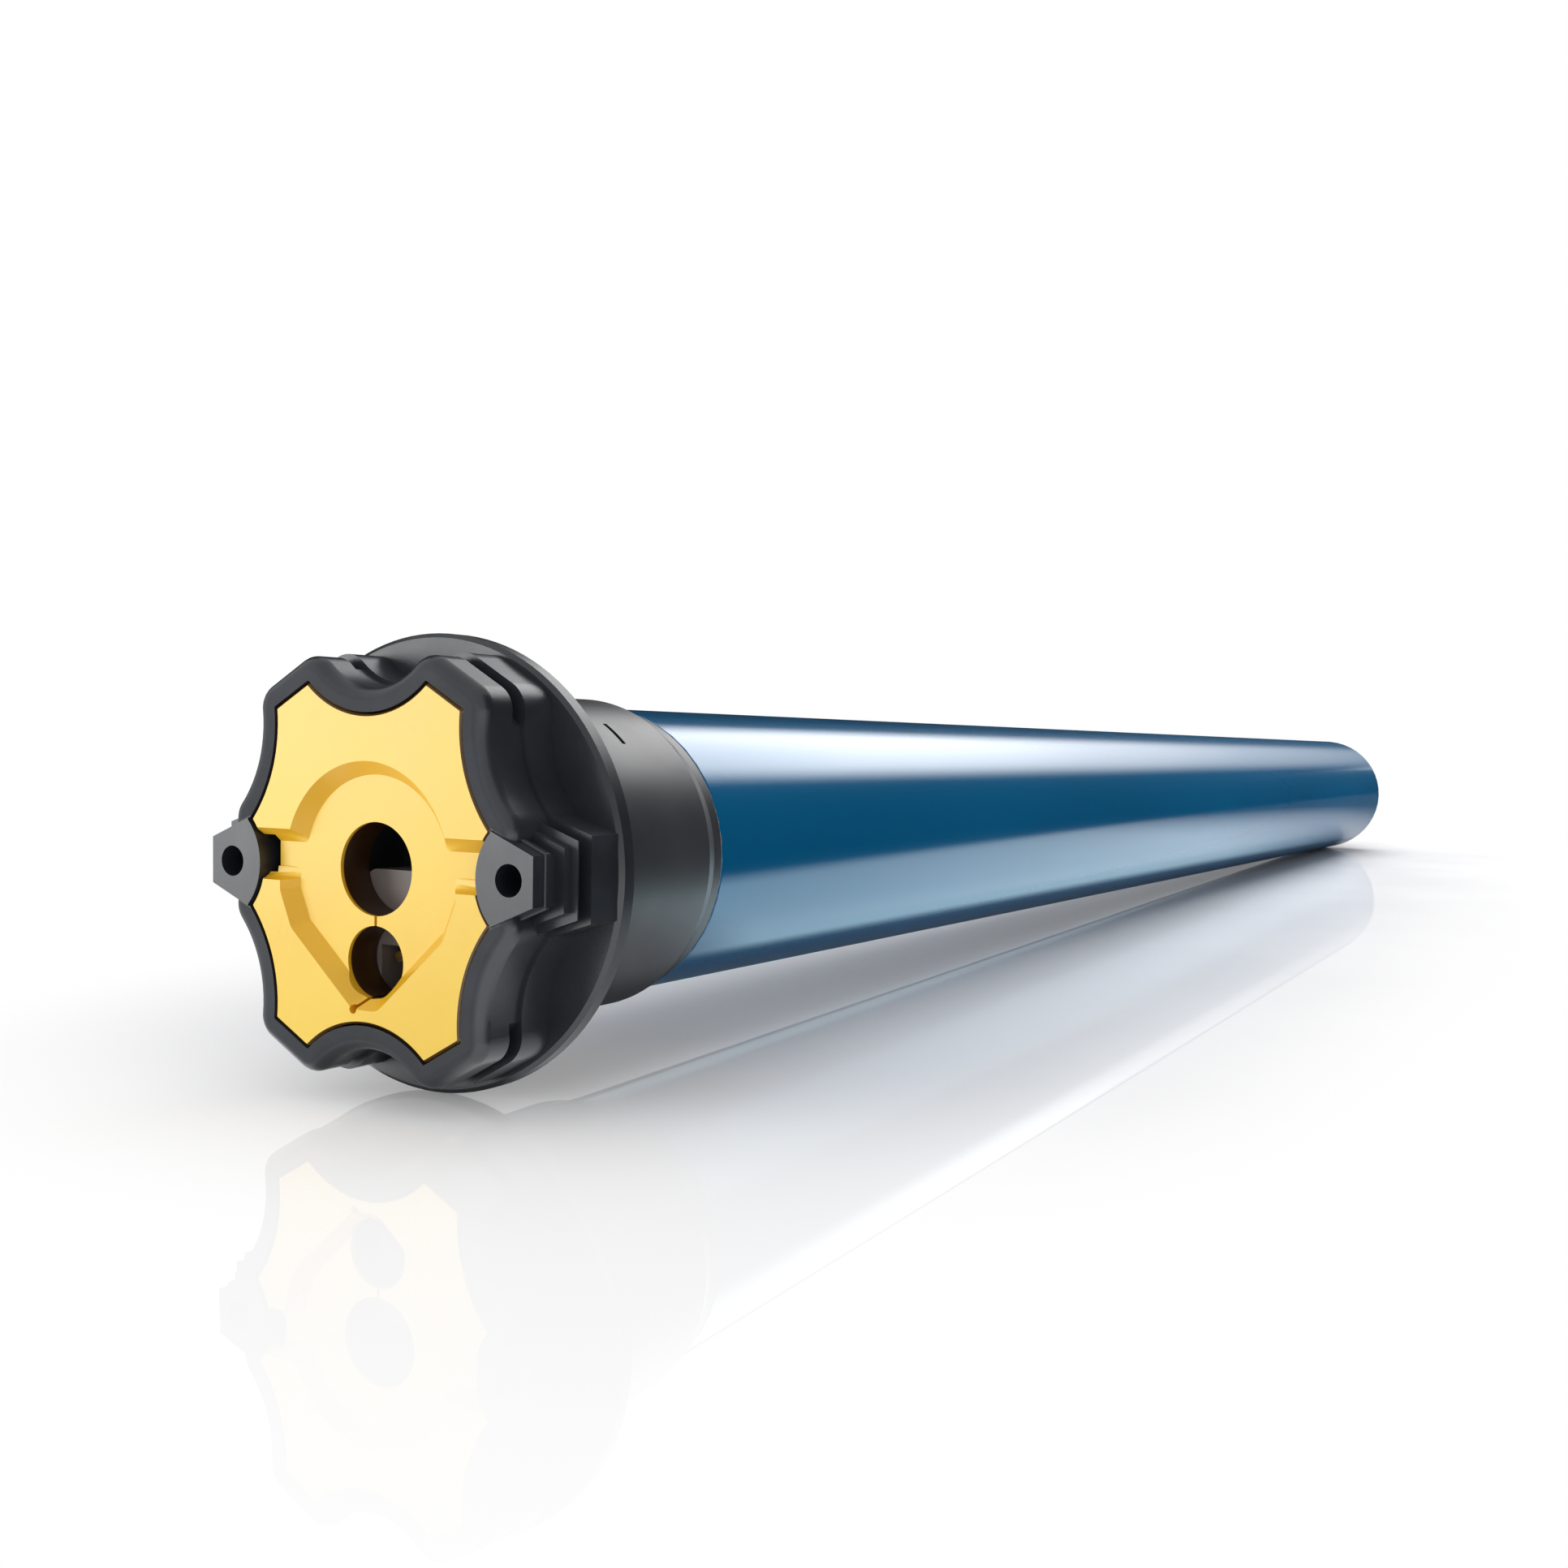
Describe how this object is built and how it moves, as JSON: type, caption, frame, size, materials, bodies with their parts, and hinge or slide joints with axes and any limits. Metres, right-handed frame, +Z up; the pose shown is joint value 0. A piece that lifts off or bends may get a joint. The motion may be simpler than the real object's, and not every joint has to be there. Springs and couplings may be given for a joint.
{
  "type": "tubular roller blind motor",
  "caption": "Tubular motor for a roller blind: star-shaped mounting head, turning crown, painted steel tube, planetary gearbox and a keyed output shaft.",
  "frame": {"origin": "on the motor's axis, in the plane of the two ears' front faces", "axes": "+X along the axis from the head to the output shaft, +Z up, with the ears to the sides along Y and the cable hole below the centre hole"},
  "size_m": [0.6073, 0.0635, 0.0634],
  "materials": {
    "black_plastic": "fine moulded texture",
    "yellow_plastic": "satin moulding",
    "grey_plastic": "moulded",
    "white_plastic": "moulded acetal",
    "blue_paint": "gloss powder coat",
    "plain_steel": "machined",
    "zinc_steel": "zinc plated",
    "spring_steel": "blued",
    "laminated_steel": "stacked sheets",
    "cast_aluminium": "die cast",
    "aluminium_can": "drawn",
    "brass": "turned",
    "bronze": "sintered",
    "copper_wire": "enamelled wire",
    "circuit_board": "solder mask",
    "dark_component": "moulded",
    "magnet": "bonded ferrite",
    "brake_lining": "friction lining",
    "foam_rubber": "closed-cell foam",
    "lead_insulation": "insulated wire"
  },
  "bodies": {
    "motor_body": {"head_shell": "black_plastic", "face_plate": "yellow_plastic", "cable_socket": "grey_plastic", "contact_pins": "brass", "internal_leads": "lead_insulation", "encoder_sensor": "dark_component", "pinion_support": "white_plastic", "tube_plug": "black_plastic", "plug_screws": "zinc_steel", "motor_tube": "blue_paint", "electronics_tray": "grey_plastic", "electronics_cover": "grey_plastic", "control_board": "circuit_board", "relays": "dark_component", "supply_block": "dark_component", "radio_module": "dark_component", "capacitor": "aluminium_can", "capacitor_pads": "foam_rubber", "motor_leads": "lead_insulation", "brake_housing": "cast_aluminium", "brake_coil": "dark_component", "rear_shield": "cast_aluminium", "front_shield": "cast_aluminium", "rotor_bushes": "bronze", "stator_core": "laminated_steel", "stator_windings": "copper_wire", "gearbox_housing": "plain_steel", "output_bush": "bronze", "thrust_washer": "bronze", "end_cap": "cast_aluminium", "cap_screws": "zinc_steel"},
    "crown": {"crown": "black_plastic", "crown_gear": "white_plastic"},
    "limit_pinion": {"limit_pinion": "white_plastic", "encoder_wheel": "magnet"},
    "armature": {"brake_armature": "plain_steel", "brake_springs": "plain_steel"},
    "rotor": {"rotor_core": "laminated_steel", "rotor_cage": "cast_aluminium", "rotor_shaft": "plain_steel", "brake_disc": "brake_lining", "sun_pinion_1": "plain_steel"},
    "carrier_1": {"carrier_1": "plain_steel", "carrier_1_pins": "plain_steel"},
    "carrier_2": {"carrier_2": "plain_steel", "carrier_2_pins": "plain_steel"},
    "output": {"output_carrier": "plain_steel", "output_pins": "plain_steel", "output_circlip": "spring_steel"},
    "planet_1a": {"planet_1a": "white_plastic"},
    "planet_1b": {"planet_1b": "white_plastic"},
    "planet_1c": {"planet_1c": "white_plastic"},
    "planet_2a": {"planet_2a": "plain_steel"},
    "planet_2b": {"planet_2b": "plain_steel"},
    "planet_2c": {"planet_2c": "plain_steel"},
    "planet_3a": {"planet_3a": "plain_steel"},
    "planet_3b": {"planet_3b": "plain_steel"},
    "planet_3c": {"planet_3c": "plain_steel"}
  },
  "joints": [
    {"name": "crown_spin", "type": "hinge", "parent": "motor_body", "child": "crown", "pos_m": [0.035, 0, 0], "axis": [1, 0, 0], "continuous": true},
    {"name": "limit_pinion_spin", "type": "hinge", "parent": "motor_body", "child": "limit_pinion", "pos_m": [0.048, 0, 0.01467], "axis": [1, 0, 0], "continuous": true},
    {"name": "armature_slide", "type": "slide", "parent": "motor_body", "child": "armature", "axis": [-1, 0, 0], "range_m": [0, 0.0004], "stiffness_N_per_m": 2000, "springref_m": -0.004},
    {"name": "rotor_spin", "type": "hinge", "parent": "motor_body", "child": "rotor", "pos_m": [0.42, 0, 0], "axis": [1, 0, 0], "continuous": true},
    {"name": "carrier_1_spin", "type": "hinge", "parent": "motor_body", "child": "carrier_1", "pos_m": [0.498, 0, 0], "axis": [1, 0, 0], "continuous": true},
    {"name": "carrier_2_spin", "type": "hinge", "parent": "motor_body", "child": "carrier_2", "pos_m": [0.52, 0, 0], "axis": [1, 0, 0], "continuous": true},
    {"name": "output_spin", "type": "hinge", "parent": "motor_body", "child": "output", "pos_m": [0.57, 0, 0], "axis": [1, 0, 0], "continuous": true},
    {"name": "planet_1a_spin", "type": "hinge", "parent": "carrier_1", "child": "planet_1a", "pos_m": [0.491, 0.01077, 0], "axis": [1, 0, 0], "continuous": true},
    {"name": "planet_1b_spin", "type": "hinge", "parent": "carrier_1", "child": "planet_1b", "pos_m": [0.491, -0.00539, 0.00933], "axis": [1, 0, 0], "continuous": true},
    {"name": "planet_1c_spin", "type": "hinge", "parent": "carrier_1", "child": "planet_1c", "pos_m": [0.491, -0.00539, -0.00933], "axis": [1, 0, 0], "continuous": true},
    {"name": "planet_2a_spin", "type": "hinge", "parent": "carrier_2", "child": "planet_2a", "pos_m": [0.51, 0.01077, 0], "axis": [1, 0, 0], "continuous": true},
    {"name": "planet_2b_spin", "type": "hinge", "parent": "carrier_2", "child": "planet_2b", "pos_m": [0.51, -0.00539, 0.00933], "axis": [1, 0, 0], "continuous": true},
    {"name": "planet_2c_spin", "type": "hinge", "parent": "carrier_2", "child": "planet_2c", "pos_m": [0.51, -0.00539, -0.00933], "axis": [1, 0, 0], "continuous": true},
    {"name": "planet_3a_spin", "type": "hinge", "parent": "output", "child": "planet_3a", "pos_m": [0.534, 0.01077, 0], "axis": [1, 0, 0], "continuous": true},
    {"name": "planet_3b_spin", "type": "hinge", "parent": "output", "child": "planet_3b", "pos_m": [0.534, -0.00539, 0.00933], "axis": [1, 0, 0], "continuous": true},
    {"name": "planet_3c_spin", "type": "hinge", "parent": "output", "child": "planet_3c", "pos_m": [0.534, -0.00539, -0.00933], "axis": [1, 0, 0], "continuous": true}
  ],
  "couplings": [
    {"joint": "limit_pinion_spin", "follows": "crown_spin", "ratio": 4},
    {"joint": "carrier_1_spin", "follows": "rotor_spin", "ratio": 0.18182},
    {"joint": "carrier_2_spin", "follows": "rotor_spin", "ratio": 0.033058},
    {"joint": "output_spin", "follows": "rotor_spin", "ratio": 0.0060105},
    {"joint": "planet_1a_spin", "follows": "rotor_spin", "ratio": -0.46753},
    {"joint": "planet_1b_spin", "follows": "rotor_spin", "ratio": -0.46753},
    {"joint": "planet_1c_spin", "follows": "rotor_spin", "ratio": -0.46753},
    {"joint": "planet_2a_spin", "follows": "rotor_spin", "ratio": -0.085006},
    {"joint": "planet_2b_spin", "follows": "rotor_spin", "ratio": -0.085006},
    {"joint": "planet_2c_spin", "follows": "rotor_spin", "ratio": -0.085006},
    {"joint": "planet_3a_spin", "follows": "rotor_spin", "ratio": -0.015456},
    {"joint": "planet_3b_spin", "follows": "rotor_spin", "ratio": -0.015456},
    {"joint": "planet_3c_spin", "follows": "rotor_spin", "ratio": -0.015456}
  ]
}
